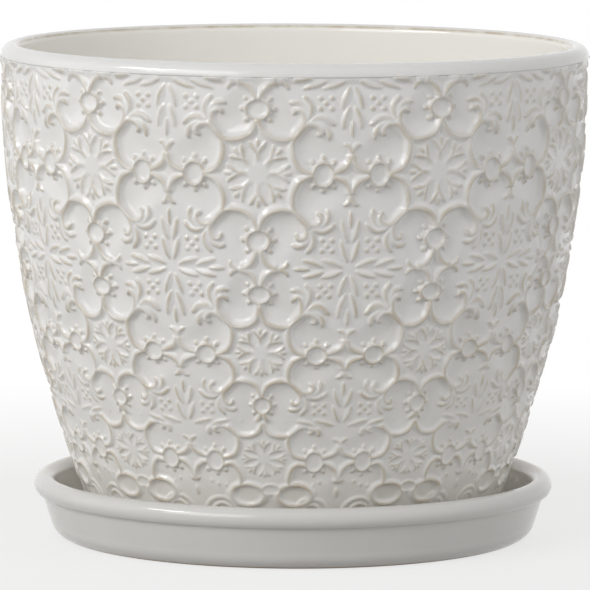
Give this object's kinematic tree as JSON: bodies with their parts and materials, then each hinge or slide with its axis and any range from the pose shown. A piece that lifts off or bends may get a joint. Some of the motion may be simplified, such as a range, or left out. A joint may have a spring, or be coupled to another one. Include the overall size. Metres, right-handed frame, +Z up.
{
  "type": "plant pot with saucer",
  "caption": "Round glazed ceramic plant pot with a bell outline, an embossed tile ornament and a drain hole, standing loose in its own saucer.",
  "frame": {"origin": "on the ground, under the middle of the saucer", "axes": "+Z up along the axis that the pot and the saucer share; front is -Y, as pictured"},
  "size_m": [0.2032, 0.2032, 0.1714],
  "materials": {
    "saucer_glaze": "glossy off-white glaze over pale clay",
    "pot_glaze": "glossy off-white glaze, pale brown where it thins over the edges of the relief"
  },
  "bodies": {
    "saucer": {"saucer": "saucer_glaze"},
    "pot": {"pot": "pot_glaze"}
  },
  "joints": [
    {"name": "pot_lift", "type": "slide", "parent": "saucer", "child": "pot", "axis": [0, 0, 1], "range_m": [0, 0.12]}
  ]
}
